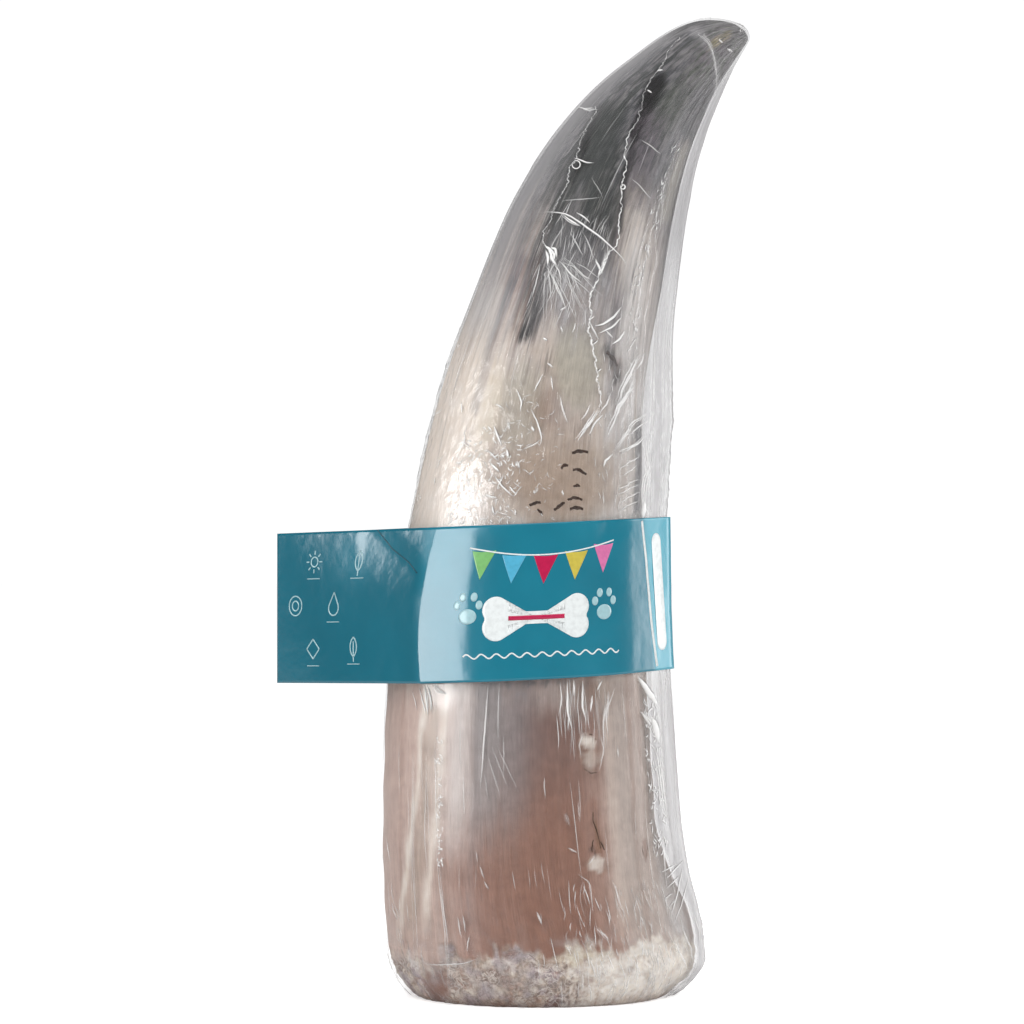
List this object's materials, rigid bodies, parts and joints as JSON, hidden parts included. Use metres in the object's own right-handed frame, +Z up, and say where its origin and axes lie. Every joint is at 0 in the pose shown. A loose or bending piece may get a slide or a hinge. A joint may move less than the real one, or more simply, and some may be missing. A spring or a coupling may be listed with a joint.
{
  "type": "cow horn dog chew",
  "caption": "Hollow cow horn for a dog to chew, standing on its broad end in clear shrink film with a printed label band wrapped round it.",
  "frame": {"origin": "middle of the underside of the bounding box, on the surface that the horn stands on", "axes": "+Z up along the horn, +X to the side that the tip bends to, +Y away from the camera of the picture, so the label's front faces -Y and its flag sticks out to -X"},
  "size_m": [0.1216, 0.07, 0.2489],
  "materials": {
    "horn": "satin",
    "film": "gloss",
    "label": "gloss"
  },
  "bodies": {
    "root": {"horn": "horn", "film_wrap": "film", "label_band": "label"}
  },
  "joints": []
}
